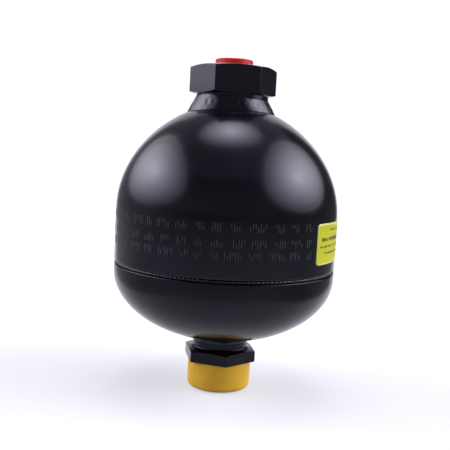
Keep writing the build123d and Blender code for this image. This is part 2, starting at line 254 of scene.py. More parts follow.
def paintMaterial(name, finish):
    # Sprayed semi-gloss black: faint cloudiness, orange peel, a little dust in the film.
    material, tree, shader, place = nodeMaterial(name)
    clouds = addNoise(tree, place, scale=35, detail=4)
    specks = addNoise(tree, place, scale=900, detail=1)
    dust = addRange(tree, specks, *finish["dustSpan"], 0, 1)
    cloud = addRange(tree, clouds, *finish["cloudSpan"], 0, 1)
    base = addMix(tree, cloud, finish["darkest"], finish["lightest"])
    tree.links.new(addMix(tree, dust, base, finish["dust"]), shader.inputs["Base Color"])
    low, high = (value + finish["rougher"] for value in finish["roughness"])
    tree.links.new(addRange(tree, clouds, *noiseSpan, low, high), shader.inputs["Roughness"])
    shader.inputs["IOR"].default_value = finish["ior"]
    shader.inputs["Specular Tint"].default_value = (*finish["tint"], 1)
    peel = addNoise(tree, place, scale=420, detail=2)
    grain = addNoise(tree, place, scale=1900, detail=1)
    layers = [(peel, finish["peelDepth"]), (grain, finish["grainDepth"])]
    if finish["brushing"]:
        turned = addNoise(tree, place, scale=260, detail=3, stretch=(0.15, 0.15, 5))
        layers.append((turned, finish["brushing"]))
    addBump(tree, shader, layers)
    return material


capFinish = {
    "shade": (0.62, 0.335, 0.009),
    "body": (0.74, 0.43, 0.016),
    "roughness": (0.46, 0.56),
    "ior": 1.46,
    "grainDepth": 0.01 * mm,
}


def capMaterial(name, finish):
    # Polyethylene: waxy, softly mottled colour with a fine moulded grain.
    material, tree, shader, place = nodeMaterial(name)
    mottle = addNoise(tree, place, scale=90, detail=5, roughness=0.6)
    colour = addMix(tree, addRange(tree, mottle, *noiseSpan, 0, 1), finish["shade"], finish["body"])
    tree.links.new(colour, shader.inputs["Base Color"])
    streaks = addNoise(tree, place, scale=300, detail=3, stretch=(1, 1, 0.12))
    low, high = finish["roughness"]
    tree.links.new(addRange(tree, streaks, *noiseSpan, low, high), shader.inputs["Roughness"])
    shader.inputs["IOR"].default_value = finish["ior"]
    grain = addNoise(tree, place, scale=1500, detail=2)
    addBump(tree, shader, [(streaks, finish["grainDepth"]), (grain, finish["grainDepth"] / 2)])
    return material


plugFinish = {
    "shade": (0.74, 0.022, 0.015),
    "body": (0.88, 0.045, 0.035),
    "roughness": (0.34, 0.44),
    "ior": 1.46,
    "grainDepth": 0.015 * mm,
}

blackPaint = paintMaterial("blackPaint", paintFinish)
blackUndersidePaint = paintMaterial("blackUndersidePaint", undersideFinish)
blackWeldPaint = paintMaterial("blackWeldPaint", weldFinish)
blackHexagonPaint = paintMaterial("blackHexagonPaint", machinedFinish)
blackTurnedPaint = paintMaterial("blackTurnedPaint", turnedFinish)
yellowPlastic = capMaterial("yellowPlastic", capFinish)
redPlastic = capMaterial("redPlastic", plugFinish)
print("paint and plastics mixed")


shells = {
    "wall": 6 * mm,
    "gasDepth": 37.2 * mm,
    "gasTangentBelowSeam": 3.5 * mm,
    "fluidTangentAboveLabel": 0.1 * mm,
    "seamRound": 0.5 * mm,
    "seamRows": 6,
    "skirtRows": 8,
    "skirtInset": 0.02,  # share of the skirt left free at each end
    "crownLift": 1.9 * mm,
    "crownReach": 55 * mm,
    "portHole": 19.5 * mm,
    "gasHole": 15.2 * mm,
    "columns": 256,
    "arcRows": 70,
}


def crownLift(radius):
    # The drawn collar round the port: a height that falls as the squared cosine of the distance from
    # the axis, and ends at its reach.
    share = np.clip(radius / shells["crownReach"], 0, 1)
    return shells["crownLift"] * np.cos(np.pi / 2 * share) ** 2


def shellSection(spec, radius, depth, tangentZ, seamZ, hole, up):
    # Outline of a cup's wall: outer dome from the seam to the hole, back along the inner dome, and
    # a quarter circle on the outer edge at the seam. up is 1 for a cup that opens down, otherwise -1.
    wall, seamRound, rows = spec["wall"], spec["seamRound"], spec["arcRows"]
    outer = domeArc(radius, depth, tangentZ, radius, hole, rows, up)
    if up > 0:
        outer[:, 1] += crownLift(outer[:, 0])
    inner = domeArc(radius - wall, depth - wall, tangentZ, hole, radius - wall, rows // 2, up)
    t = np.linspace(0, np.pi / 2, spec["seamRows"])
    edge = np.stack([
        radius - seamRound * (1 - np.sin(t)),
        seamZ + up * seamRound * (1 - np.cos(t)),
    ], axis=-1)
    along = np.linspace(spec["skirtInset"], 1 - spec["skirtInset"], spec["skirtRows"])[:, None]
    side = along * (outer[0] - edge[-1]) + edge[-1]
    return np.concatenate([edge, side, outer, inner, [[radius - wall, seamZ]]])[:, None, :]


fluidLow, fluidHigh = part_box("fluid_side_shell")
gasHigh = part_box("gas_side_shell")[1]
labelLow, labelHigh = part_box("label")
shellRadius = fluidHigh.x
seamHighZ, seamLowZ = fluidLow.z, gasHigh.z
fluidTangentZ = labelHigh.z + shells["fluidTangentAboveLabel"]
gasTangentZ = seamLowZ - shells["gasTangentBelowSeam"]
holeShare = math.sqrt(1 - (shells["portHole"] / shellRadius) ** 2)
fluidDepth = (fluidHigh.z - fluidTangentZ) / holeShare


def fluidDomeZ(radius):
    # Height of the upper cup's outside at a distance from the axis: its ellipse and the collar.
    return fluidTangentZ + fluidDepth * np.sqrt(1 - (radius / shellRadius) ** 2) + crownLift(radius)


def gasDomeZ(radius):
    # Height of the lower cup's outside at a distance from the axis: its ellipse.
    return gasTangentZ - shells["gasDepth"] * np.sqrt(1 - (radius / shellRadius) ** 2)


angles = roundAngles(shells["columns"])
fluidSection = shellSection(
    shells, shellRadius, fluidDepth, fluidTangentZ, seamHighZ, shells["portHole"], 1,
)
fluidCup = skin("fluid_cup", spin(fluidSection, angles))
dress(fluidCup, "black_paint", blackPaint, "fluid_side_shell")
gasSection = shellSection(
    shells, shellRadius, shells["gasDepth"], gasTangentZ, seamLowZ, shells["gasHole"], -1,
)
gasCup = skin("gas_cup", spin(gasSection, angles))
dress(gasCup, "black_paint", blackUndersidePaint, "gas_side_shell")
print("cups drawn: radius", round(shellRadius, 4), "fluid dome", round(fluidDepth, 4))


girth = {
    "recess": 0.36 * mm,
    "crown": 0.78 * mm,
    "ripple": 0.22 * mm,
    "ripplesRound": 160,
    "slant": 1.3,
    "unevenness": 1.1,
    "middleRipple": 0.55,
    "edgeRipple": 0.45,
    "columns": 1140,
    "crownRows": 9,
}


def girthWeldPoints(spec, angles):
    # The crown is a shallow arch across the seam. A sine ripple runs round it, slanted across the
    # seam and stronger towards its upper edge, and slow waves vary its depth.
    across = np.linspace(-1, 1, spec["crownRows"])[:, None]
    height = (seamLowZ + seamHighZ) / 2 + across * (seamHighZ - seamLowZ) / 2
    uneven = waves(angles, seed=3, lowest=20, highest=90, count=8)
    depth = 1 + spec["unevenness"] * uneven
    depth = depth * (spec["middleRipple"] + spec["edgeRipple"] * across)
    ripple = np.sin(spec["ripplesRound"] * angles + spec["slant"] * across) * depth
    crown = shellRadius - spec["recess"] - spec["crown"] * across ** 2 + spec["ripple"] * ripple
    outer = np.stack([crown, np.broadcast_to(height, crown.shape)], axis=-1)
    boreRadius = shellRadius - shells["wall"]
    inner = np.array([[boreRadius, seamHighZ], [boreRadius, seamLowZ]])
    inner = np.broadcast_to(inner[:, None, :], (2, len(angles), 2))
    return spin(np.concatenate([outer, inner]), angles)


girthWeld = skin("girth_seam", girthWeldPoints(girth, roundAngles(girth["columns"])))
dress(girthWeld, "black_paint", blackWeldPaint, "girth_weld")
print("girth weld laid")


port = {
    "flats": 41 * mm,
    "hexHeight": 15 * mm,
    "lowChamfer": math.radians(16),
    "highChamfer": math.radians(16),
    "chamferStart": 0.35 * mm,
    "sharpness": 220,
    "neck": 19.5 * mm,
    "minor": 9.3155 * mm,
    "mouth": 10.7 * mm,
    "mouthDepth": 1 * mm,
    "threadDepth": 14 * mm,
    "passage": 6 * mm,
    "drillHalfAngle": math.radians(59),
    "neckRound": 0.4 * mm,
    "hexEndRound": 0.6 * mm,
    "edgeRound": 0.35 * mm,
    "mouthRound": 0.2 * mm,
    "boreRound": 0.1 * mm,
    "turn": math.radians(30),
    "perSide": 44,
}


def hexBodySection(spec, angles, lowZ, highZ, inside, outside):
    # Section through a turned hexagon bar at each angle: its side stands at the hexagon's own
    # distance, and cones of the two chamfer angles cut its ends back to just inside the flats.
    side = hexagonRadius(angles, spec["turn"], spec["flats"] / 2, spec["sharpness"])
    start = spec["flats"] / 2 - spec["chamferStart"]
    ones = np.ones_like(angles)
    hexCorners = [
        (start * ones, lowZ * ones),
        (side, lowZ + (side - start) * np.tan(spec["lowChamfer"])),
        (side, highZ - (side - start) * np.tan(spec["highChamfer"])),
        (start * ones, highZ * ones),
    ]
    turnedBelow = [(radius * ones, z * ones) for radius, z in outside]
    turnedAbove = [(radius * ones, z * ones) for radius, z in inside]
    loop = turnedBelow + hexCorners + turnedAbove
    return np.stack([np.stack(corner, axis=-1) for corner in loop])


portLow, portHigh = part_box("fluid_port")
portFace, portSeat = portHigh.z, portLow.z
hexBase = portFace - port["hexHeight"]
threadEnd = portFace - port["threadDepth"]
drillPoint = (port["minor"] - port["passage"]) / math.tan(port["drillHalfAngle"])
portAngles = hexagonAngles(port["turn"], port["perSide"])
portSection = hexBodySection(
    port, portAngles, hexBase, portFace,
    inside=[
        (port["mouth"], portFace),
        (port["mouth"], portFace - port["mouthDepth"]),
        (port["minor"], portFace - port["mouthDepth"]),
        (port["minor"], threadEnd),
        (port["passage"], threadEnd - drillPoint),
        (port["passage"], portSeat),
    ],
    outside=[(port["neck"], portSeat), (port["neck"], hexBase)],
)
hexEdges = [port["hexEndRound"], port["edgeRound"], port["edgeRound"], port["hexEndRound"]]
boreEdges = [port["mouthRound"], *[port["boreRound"]] * 4]
portRadii = [sharp, port["neckRound"], *hexEdges, *boreEdges, sharp]
portBody = skin("fluid_port_body", spin(roundedLoop(portSection, portRadii, steps=5), portAngles))
weightNormals(portBody)
dress(portBody, "black_paint", blackHexagonPaint, "fluid_port")
print("fluid port turned")


portWeld = {
    "toe": 22.5 * mm,
    "toeSpread": 1.3 * mm,
    "toeSkew": 0.6 * mm,
    "topZ": 159.3 * mm,
    "topSkew": 1.2 * mm,
    "skewAngle": math.radians(190),
    "narrowAngle": math.radians(-96.4),
    "skewFloor": -0.6,
    "toeWander": 0.15 * mm,
    "topWander": 0.25 * mm,
    "overNeck": 0.15 * mm,
    "overDome": 0.12 * mm,
    "overToe": 0.1 * mm,
    "hollow": 1.25,  # above 1, the run is drawn in towards the neck
    "bulge": 0.9 * mm,
    "bulgeOut": 0.35,
    "bulgeUp": 0.25,
    "lump": 0.42 * mm,
    "coarseLumps": 0.6,
    "fineLumps": 0.4,
    "sink": 0.25 * mm,
    "columns": 288,
    "rows": 26,
    "bedRows": 8,
}


def portWeldPoints(spec, angles):
    # A fillet between neck and dome: a straight run from its top on the neck to its toe on the dome,
    # bulged by a sine arch, with lumps that fade at both ends. It reaches higher and further out
    # towards one side, by the cosine of the angle from there, and its toe is nearer the neck at two
    # opposite places, by the cosine of twice the angle from the first.
    lean = np.maximum(np.cos(angles - spec["skewAngle"]), spec["skewFloor"])
    spread = spec["toeSkew"] * lean - spec["toeSpread"] * np.cos(2 * (angles - spec["narrowAngle"]))
    toeWaves = waves(angles, seed=5, lowest=6, highest=30, count=6)
    topWaves = waves(angles, seed=6, lowest=4, highest=20, count=6)
    coarse = waves(angles, seed=7, lowest=5, highest=16, count=6)
    fine = waves(angles, seed=8, lowest=20, highest=44, count=8)
    toe = spec["toe"] + spread + spec["toeWander"] * toeWaves
    topZ = spec["topZ"] + spec["topSkew"] * lean + spec["topWander"] * topWaves
    topR = port["neck"] + spec["overNeck"]
    s = np.linspace(0, 1, spec["rows"])[:, None]
    arch = np.sin(np.pi * s)
    lumps = spec["coarseLumps"] * coarse + spec["fineLumps"] * fine * np.cos(2 * np.pi * s)
    swell = arch * (spec["bulgeOut"] * spec["bulge"] + spec["lump"] * lumps)
    radius = topR + (toe - topR) * s ** spec["hollow"] + swell
    fall = fluidDomeZ(toe) + spec["overDome"] - topZ
    height = topZ + fall * s + arch * spec["bulgeUp"] * spec["bulge"]
    outer = np.stack([radius, height], axis=-1)
    under = np.linspace(1, 0, spec["bedRows"])[:, None]
    underR = port["neck"] - spec["sink"] + (toe - port["neck"] + spec["overToe"]) * under
    bed = np.stack([underR, fluidDomeZ(underR) - spec["sink"]], axis=-1)
    return spin(np.concatenate([outer, bed]), angles)


portFillet = skin("port_fillet", portWeldPoints(portWeld, roundAngles(portWeld["columns"])))
dress(portFillet, "black_paint", blackWeldPaint, "fluid_port_weld")
print("port weld laid")


gas = {
    "flats": 36 * mm,
    "hexHeight": 6.4 * mm,
    "lowChamfer": 0,  # leaves a straight corner under the hexagon, which roundedLoop can't round
    "highChamfer": math.radians(12),
    "chamferStart": 0.3 * mm,
    "sharpness": 300,
    "neck": 15.2 * mm,
    "neckFillet": 2 * mm,
    "stub": 13.95 * mm,
    "relief": 1.1 * mm,
    "reliefLength": 1.6 * mm,
    "bore": 6 * mm,
    "boreDepth": 17 * mm,
    "passage": 1.5 * mm,
    "edgeRound": 0.3 * mm,
    "threadRound": 0.1 * mm,
    "fineRound": 0.05 * mm,
    "turn": math.radians(4.8),
    "perSide": 40,
}
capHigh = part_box("protective_cap")[1]
bodyLow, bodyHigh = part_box("gas_valve_body")
gasHexBase = capHigh.z
gasHexTop = gasHexBase + gas["hexHeight"]
boreEnd = bodyLow.z + gas["boreDepth"]
gasAngles = hexagonAngles(gas["turn"], gas["perSide"])
gasSectionCorners = hexBodySection(
    gas, gasAngles, gasHexBase, gasHexTop,
    inside=[
        (gas["neck"], gasHexTop),
        (gas["neck"], bodyHigh.z),
        (gas["passage"], bodyHigh.z),
        (gas["passage"], boreEnd),
        (gas["bore"], boreEnd),
        (gas["bore"], bodyLow.z),
    ],
    outside=[
        (gas["stub"] - gas["relief"], bodyLow.z),
        (gas["stub"], bodyLow.z + gas["relief"]),
        (gas["stub"], gasHexBase - gas["reliefLength"]),
        (gas["stub"] - gas["relief"], gasHexBase - gas["reliefLength"]),
        (gas["stub"] - gas["relief"], gasHexBase),
    ],
)
fineRound, threadRound = gas["fineRound"], gas["threadRound"]
stubEdges = [fineRound, threadRound, threadRound, fineRound, fineRound]
insideEdges = [gas["neckFillet"], *[fineRound] * 4, threadRound]
gasRadii = [*stubEdges, *[gas["edgeRound"]] * 4, *insideEdges]
gasLoop = roundedLoop(gasSectionCorners, gasRadii, steps=7, reach=0.85)
gasBody = skin("gas_end_body", spin(gasLoop, gasAngles))
weightNormals(gasBody)
dress(gasBody, "black_paint", blackTurnedPaint, "gas_valve_body")

gasWeld = {
    "toe": 17.2 * mm,
    "toeWander": 0.15 * mm,
    "rise": 2.6 * mm,
    "lump": 0.16 * mm,
    "overlap": 0.1 * mm,
    "sink": 0.2 * mm,
    "columns": 240,
    "rows": 16,
    "bedRows": 6,
}


def gasWeldPoints(spec, angles):
    # A hollow fillet between the gas neck and the head: a quarter-sine sweep from the neck out to the
    # toe, with small lumps that fade at both ends.
    toeWaves = waves(angles, seed=11, lowest=5, highest=24, count=6)
    lumpWaves = waves(angles, seed=12, lowest=6, highest=30, count=8)
    toe = spec["toe"] + spec["toeWander"] * toeWaves
    topR = gas["neck"] + spec["overlap"]
    s = np.linspace(0, 1, spec["rows"])[:, None]
    lumps = lumpWaves * np.sin(np.pi * s)
    radius = topR + (toe - topR) * (1 - np.cos(s * np.pi / 2)) + spec["lump"] * lumps
    lowZ = gasDomeZ(gas["neck"]) - spec["rise"]
    height = lowZ + (gasDomeZ(toe) - spec["overlap"] - lowZ) * np.sin(s * np.pi / 2)
    outer = np.stack([radius, height], axis=-1)
    under = np.linspace(1, 0, spec["bedRows"])[:, None]
    underR = gas["neck"] - spec["sink"] + (toe - gas["neck"] + spec["overlap"]) * under
    bed = np.stack([underR, gasDomeZ(underR) + spec["sink"]], axis=-1)
    return spin(np.concatenate([outer, bed]), angles)


gasFillet = skin("gas_fillet", gasWeldPoints(gasWeld, roundAngles(gasWeld["columns"])))
dress(gasFillet, "black_paint", blackWeldPaint, "gas_valve_weld")
print("gas end turned and welded")


cap = {
    "top": 17.55 * mm,
    "base": 17.4 * mm,
    "clearance": 0.15 * mm,
    "floor": 3 * mm,
    "corner": 2.6 * mm,
    "rim": 0.5 * mm,
    "boreRim": 0.3 * mm,
    "boreCorner": 0.8 * mm,
    "poleHole": 0.02 * mm,
    "poleRound": 0.001 * mm,
    "columns": 192,
}
boreR = gas["stub"] + cap["clearance"]
capCorners = np.array([
    (cap["poleHole"], 0),
    (cap["base"], 0),
    (cap["top"], capHigh.z),
    (boreR, capHigh.z),
    (boreR, cap["floor"]),
    (cap["poleHole"], cap["floor"]),
])[:, None, :]
rims = [cap["corner"], cap["rim"], cap["boreRim"], cap["boreCorner"]]
capRadii = [cap["poleRound"], *rims, cap["poleRound"]]
capLoop = roundedLoop(capCorners, capRadii, steps=9)
endCap = skin("end_cap", spin(capLoop, roundAngles(cap["columns"])))
weightNormals(endCap)
dress(endCap, "yellow_plastic", yellowPlastic, "protective_cap")
print("protective cap moulded")


label = {
    "arc": 60 * mm,
    "middle": math.radians(-18.8),
    "thickness": 0.2 * mm,
    "corner": 2 * mm,
    "around": 160,
    "rings": 24,
    # Blank printed bars: start and end along the label, height above its lower edge, thickness; mm.
    "bars": ((12, 50, 17.6, 1.0), (4, 55, 12.9, 1.9), (3, 57, 9.3, 1.1), (8, 52, 5.9, 1.0)),
}


def labelOutline(width, height, corner, count):
    # A rounded rectangle, walked once round by even angles. Each point starts on the sharp
    # rectangle; in a corner it moves along the line to that corner's centre until it is one corner
    # radius away from it.
    turn = 1e-4  # keeps the points off the exact middle of a side
    t = roundAngles(count) + turn
    square = np.stack([np.cos(t), np.sin(t)], axis=-1)
    square /= np.abs(square).max(-1)[:, None]
    half = np.array([width / 2, height / 2])
    point = square * half
    core = np.clip(point, corner - half, half - corner)
    off = point - core
    length = np.maximum(np.linalg.norm(off, axis=-1)[:, None], 1e-9)
    inCorner = (np.abs(off) > 0).all(-1)[:, None]
    return np.where(inCorner, core + off / length * corner, point)


def wrap(flat, radius, middleAngle, middleZ):
    # Wraps flat points round the vessel: the first coordinate becomes an arc length.
    angle = middleAngle + flat[..., 0] / shellRadius
    return np.stack([radius * np.cos(angle), radius * np.sin(angle), middleZ + flat[..., 1]], axis=-1)


labelHeight = labelHigh.z - labelLow.z
labelMiddleZ = (labelHigh.z + labelLow.z) / 2
outline = labelOutline(label["arc"], labelHeight, label["corner"], label["around"])
share = np.linspace(0, 1, label["rings"])[:, None, None]
face = wrap(share * outline[None], shellRadius + label["thickness"], label["middle"], labelMiddleZ)
back = wrap(share[::-1] * outline[None], shellRadius, label["middle"], labelMiddleZ)
labelSheet = skin("label_sheet", np.concatenate([face, back]), closeRows=False)


def addWithin(tree, value, middle, reach):
    # 1 where the value lies no further than the reach from the middle, otherwise 0.
    compare = tree.nodes.new("ShaderNodeMath")
    compare.operation = "COMPARE"
    tree.links.new(value, compare.inputs[0])
    compare.inputs[1].default_value = middle
    compare.inputs[2].default_value = reach
    return compare.outputs[0]


def addProduct(tree, first, second):
    product = tree.nodes.new("ShaderNodeMath")
    product.operation = "MULTIPLY"
    tree.links.new(first, product.inputs[0])
    tree.links.new(second, product.inputs[1])
    return product.outputs[0]


def addLayer(tree, name):
    layer = tree.nodes.new("ShaderNodeAttribute")
    layer.attribute_name = name
    return layer.outputs["Fac"]


labelFinish = {
    "shade": (0.47, 0.49, 0.012),
    "body": (0.54, 0.55, 0.022),
    "border": (0.66, 0.66, 0.20),
    "borderSpan": (0.75, 1.1),  # mm inside the edge, where the pale line fades
    "bars": (0.05, 0.052, 0.02),
    "ink": 0.85,
    "wornSpan": (0.40, 0.44),
    "roughness": (0.36, 0.46),
    "ior": 1.45,
    "grainDepth": 0.01 * mm,
}


def labelMaterial(name, finish, bars):
    # Printed vinyl: flat colour with a faint mottle, a paler border line near its edge and broken
    # blank bars, all drawn from the sheet's own coordinates in millimetres.
    material, tree, shader, place = nodeMaterial(name)
    mottle = addNoise(tree, place, scale=160, detail=3)
    colour = addMix(tree, addRange(tree, mottle, *noiseSpan, 0, 1), finish["shade"], finish["body"])
    inward = addLayer(tree, "edgeDistance")
    border = addRange(tree, inward, *finish["borderSpan"], 1, 0)
    colour = addMix(tree, border, colour, finish["border"])
    along, upright = addLayer(tree, "along"), addLayer(tree, "upright")
    wear = addNoise(tree, place, scale=430, detail=1)
    ink = addRange(tree, wear, *finish["wornSpan"], 0, finish["ink"])
    for start, end, height, thickness in bars:
        inside = addProduct(
            tree,
            addWithin(tree, along, (start + end) / 2, (end - start) / 2),
            addWithin(tree, upright, height, thickness / 2),
        )
        colour = addMix(tree, addProduct(tree, inside, ink), colour, finish["bars"])
    tree.links.new(colour, shader.inputs["Base Color"])
    low, high = finish["roughness"]
    tree.links.new(addRange(tree, mottle, *noiseSpan, low, high), shader.inputs["Roughness"])
    shader.inputs["IOR"].default_value = finish["ior"]
    grain = addNoise(tree, place, scale=700, detail=2)
    addBump(tree, shader, [(grain, finish["grainDepth"])])
    return material


def measureLabel(piece):
    # For each vertex, in millimetres: how far it lies along the label and up it, and how far inside
    # its edge.
    points = np.empty(len(piece.data.vertices) * 3)
    piece.data.vertices.foreach_get("co", points)
    points = points.reshape(-1, 3)
    turn = (np.arctan2(points[:, 1], points[:, 0]) - label["middle"] + np.pi) % (2 * np.pi) - np.pi
    along = label["arc"] / 2 + turn * shellRadius
    upright = points[:, 2] - labelLow.z
    inside = np.minimum(along, label["arc"] - along)
    inside = np.minimum(inside, np.minimum(upright, labelHeight - upright))
    for name, value in (("along", along), ("upright", upright), ("edgeDistance", inside)):
        layer = piece.data.attributes.new(name, "FLOAT", "POINT")
        layer.data.foreach_set("value", (value / mm).astype(np.float32))


yellowLabel = labelMaterial("yellowLabel", labelFinish, label["bars"])
measureLabel(labelSheet)
dress(labelSheet, "yellow_label", yellowLabel, "label")
print("label stuck on")


marks = {
    "rows": ((95.6 * mm, 4.0 * mm), (87.9 * mm, 3.8 * mm), (82.0 * mm, 3.9 * mm)),
    "fromAngle": math.radians(-52),
    "toAngle": math.radians(-205),
    "pitch": 1.3 * mm,
    "width": 0.34 * mm,
    "proud": 0.03 * mm,
    "root": 0.15 * mm,
    "group": (3, 8),
    "space": (2, 4),
    # Lower and upper end of each kind of stroke, as shares of the row's height from its middle.
    "kinds": ((-0.5, 0.5), (-0.5, 0.5), (0, 0.5), (-0.5, 0.1)),
    "seed": 21,
}


def markStrokes(spec):
    # Plain upright strokes in rows, at an even pitch round the shell. Random groups of them are set
    # apart by two or three empty places; each stroke is full, or cut to its upper or lower part.
    random = np.random.default_rng(spec["seed"])
    sweep = abs(spec["toAngle"] - spec["fromAngle"]) * shellRadius
    places = int(sweep / spec["pitch"])
    strokes = []
    for middle, height in spec["rows"]:
        place = 0
        while place < places:
            group = int(random.integers(*spec["group"]))
            for step in range(group):
                angle = spec["fromAngle"] - (place + step) * spec["pitch"] / shellRadius
                low, high = spec["kinds"][random.integers(len(spec["kinds"]))]
                strokes.append((angle, middle + low * height, middle + high * height))
            place += group + int(random.integers(*spec["space"]))
    return np.array(strokes)


def markPoints(strokes, spec):
    # Each stroke is a closed ring of four corners at the shell's surface, from its root to its face:
    # strokes x 2 depths x 4 corners.
    halfAngle = spec["width"] / shellRadius / 2
    turn = strokes[:, :1] + halfAngle * np.array([-1, 1, 1, -1])
    height = np.take(strokes, [1, 1, 2, 2], axis=1)
    radius = shellRadius + np.array([-spec["root"], spec["proud"]])[None, :, None]
    turn, height = turn[:, None, :], height[:, None, :] + 0 * radius
    return np.stack([radius * np.cos(turn), radius * np.sin(turn), height], axis=-1)


def blocks(name, points):
    # Closes each ring pair into a block: four sides, a root and a face.
    corners = np.arange(8) + 8 * np.arange(len(points))[:, None]
    sides = np.array([
        [0, 1, 5, 4],
        [1, 2, 6, 5],
        [2, 3, 7, 6],
        [3, 0, 4, 7],
        [3, 2, 1, 0],
        [4, 5, 6, 7],
    ])
    mesh = bpy.data.meshes.new(name)
    mesh.from_pydata(points.reshape(-1, 3).tolist(), [], corners[:, sides].reshape(-1, 4).tolist())
    tidyMesh = bmesh.new()
    tidyMesh.from_mesh(mesh)
    bmesh.ops.recalc_face_normals(tidyMesh, faces=tidyMesh.faces)
    tidyMesh.to_mesh(mesh)
    tidyMesh.free()
    piece = bpy.data.objects.new(name, mesh)
    bpy.context.scene.collection.objects.link(piece)
    return piece


# Paint for the peened strokes: its pale grey base colour is a painted sheen, standing in for the light
# that the dents catch; its rougher film is the strokes' own.
peenSheenFinish = paintFinish | {
    "darkest": (0.030, 0.031, 0.036),
    "lightest": (0.050, 0.051, 0.058),
    "roughness": (0.42, 0.50),
}
peenSheenPaint = paintMaterial("peenSheenPaint", peenSheenFinish)
strokes = markStrokes(marks)
peenedMarks = blocks("peened_marks", markPoints(strokes, marks))
# The strokes get the paint whose pale grey is a painted sheen.
dress(peenedMarks, "black_paint", peenSheenPaint)
print("plain marks peened:", len(strokes), "strokes")


rubberFinish = {
    "dark": (0.006, 0.006, 0.006),
    "pale": (0.018, 0.017, 0.016),
    "bloomSpan": (0.35, 0.7),
    "roughness": (0.55, 0.75),
    "grainDepth": 0.03 * mm,
}
steelFinish = {
    "dark": (0.32, 0.31, 0.30),
    "pale": (0.55, 0.54, 0.53),
    "roughness": (0.22, 0.40),
    "ringDepth": 0.01 * mm,
}


def rubberMaterial(name, finish):
    # Nitrile: matt black with a bloom and a fine moulded texture.
    material, tree, shader, place = nodeMaterial(name)
    bloom = addNoise(tree, place, scale=60, detail=5, roughness=0.6)
    pale = addRange(tree, bloom, *finish["bloomSpan"], 0, 1)
    colour = addMix(tree, pale, finish["dark"], finish["pale"])
    tree.links.new(colour, shader.inputs["Base Color"])
    low, high = finish["roughness"]
    tree.links.new(addRange(tree, bloom, *noiseSpan, low, high), shader.inputs["Roughness"])
    grain = addNoise(tree, place, scale=900, detail=3)
    addBump(tree, shader, [(grain, finish["grainDepth"])])
    return material


def steelMaterial(name, finish):
    # Turned steel: fine rings from the tool and a slight stain.
    material, tree, shader, place = nodeMaterial(name)
    stain = addNoise(tree, place, scale=120, detail=4)
    colour = addMix(tree, addRange(tree, stain, *noiseSpan, 0, 1), finish["dark"], finish["pale"])
    tree.links.new(colour, shader.inputs["Base Color"])
    rings = addNoise(tree, place, scale=500, detail=2, stretch=(0.2, 0.2, 8))
    low, high = finish["roughness"]
    tree.links.new(addRange(tree, rings, *noiseSpan, low, high), shader.inputs["Roughness"])
    shader.inputs["Metallic"].default_value = 1
    addBump(tree, shader, [(rings, finish["ringDepth"])])
    return material


blackRubber = rubberMaterial("blackRubber", rubberFinish)
plainSteel = steelMaterial("plainSteel", steelFinish)


lining = {
    "thickness": 2 * mm,
    "gap": 0.3 * mm,
    "beadWidth": 4.6 * mm,
    "beadHeight": 5.5 * mm,
    "beadRound": 1.5 * mm,
    "roundRows": 6,
    "pocketRadius": 14.1 * mm,
    "buttonThickness": 3.1 * mm,
    "holeRadius": 4.1 * mm,
    "columns": 180,
    "arcRows": 48,
    "foldDepth": 38.6 * mm,
}


def liningSection(spec, low, high):
    # Down the outside of the cup from its flat top to the bead, round the bead, up the inside, and
    # across the raised middle with the closing button's pocket. Both walls are quarter ellipses.
    outerRadius = shellRadius - shells["wall"] - spec["gap"]
    outerDepth = fluidDepth - shells["wall"] - spec["gap"]
    innerRadius = outerRadius - spec["thickness"]
    innerDepth = outerDepth - spec["thickness"]
    topRadius = outerRadius * math.sqrt(1 - ((high - fluidTangentZ) / outerDepth) ** 2)
    padRadius = spec["pocketRadius"] + spec["thickness"]
    beadTop, beadInner = low + spec["beadHeight"], outerRadius - spec["beadWidth"]
    pocketFloor = high - spec["buttonThickness"]
    outer = domeArc(outerRadius, outerDepth, fluidTangentZ, topRadius, outerRadius, spec["arcRows"], 1)
    inner = domeArc(innerRadius, innerDepth, fluidTangentZ, innerRadius, padRadius, spec["arcRows"], 1)
    beadCorners = np.array([
        (outerRadius, beadTop),
        (outerRadius, low),
        (beadInner, low),
        (beadInner, beadTop),
    ])[:, None, :]
    beadRadii = [sharp, *[spec["beadRound"]] * 3]
    bead = roundedLoop(beadCorners, beadRadii, spec["roundRows"])[spec["roundRows"]:, 0]
    pocket = [
        (padRadius, pocketFloor - spec["thickness"]),
        (spec["holeRadius"], pocketFloor - spec["thickness"]),
        (spec["holeRadius"], pocketFloor),
        (spec["pocketRadius"], pocketFloor),
        (spec["pocketRadius"], high),
    ]
    return np.concatenate([outer, bead, [(innerRadius, beadTop)], inner, pocket])[:, None, :]


liningLow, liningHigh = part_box("diaphragm")
liningLoop = liningSection(lining, liningLow.z, liningHigh.z)
rubberCup = skin("rubber_diaphragm", spin(liningLoop, roundAngles(lining["columns"])))
dress(rubberCup, "black_rubber", blackRubber, "diaphragm", body=None)
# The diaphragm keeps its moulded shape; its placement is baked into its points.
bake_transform(rubberCup)
print("diaphragm moulded")

nodeFinishes = {
    "port_plug": redPlastic,
    "closing_button": plainSteel,
    "retaining_ring": plainSteel,
    "charging_screw": plainSteel,
    "charging_o_ring": blackRubber,
}
for node, material in nodeFinishes.items():
    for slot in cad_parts[node].material_slots:
        slot.material = material
print("inside pieces finished")


cameraPlace = {
    "distance": 392.046 * mm,
    "height": 131.719 * mm,
    "azimuth": math.radians(-6.416),
    "pitch": math.radians(6.019),
    "yaw": math.radians(-0.081),
    "roll": math.radians(2.952),
    "lens": 56.978,
}


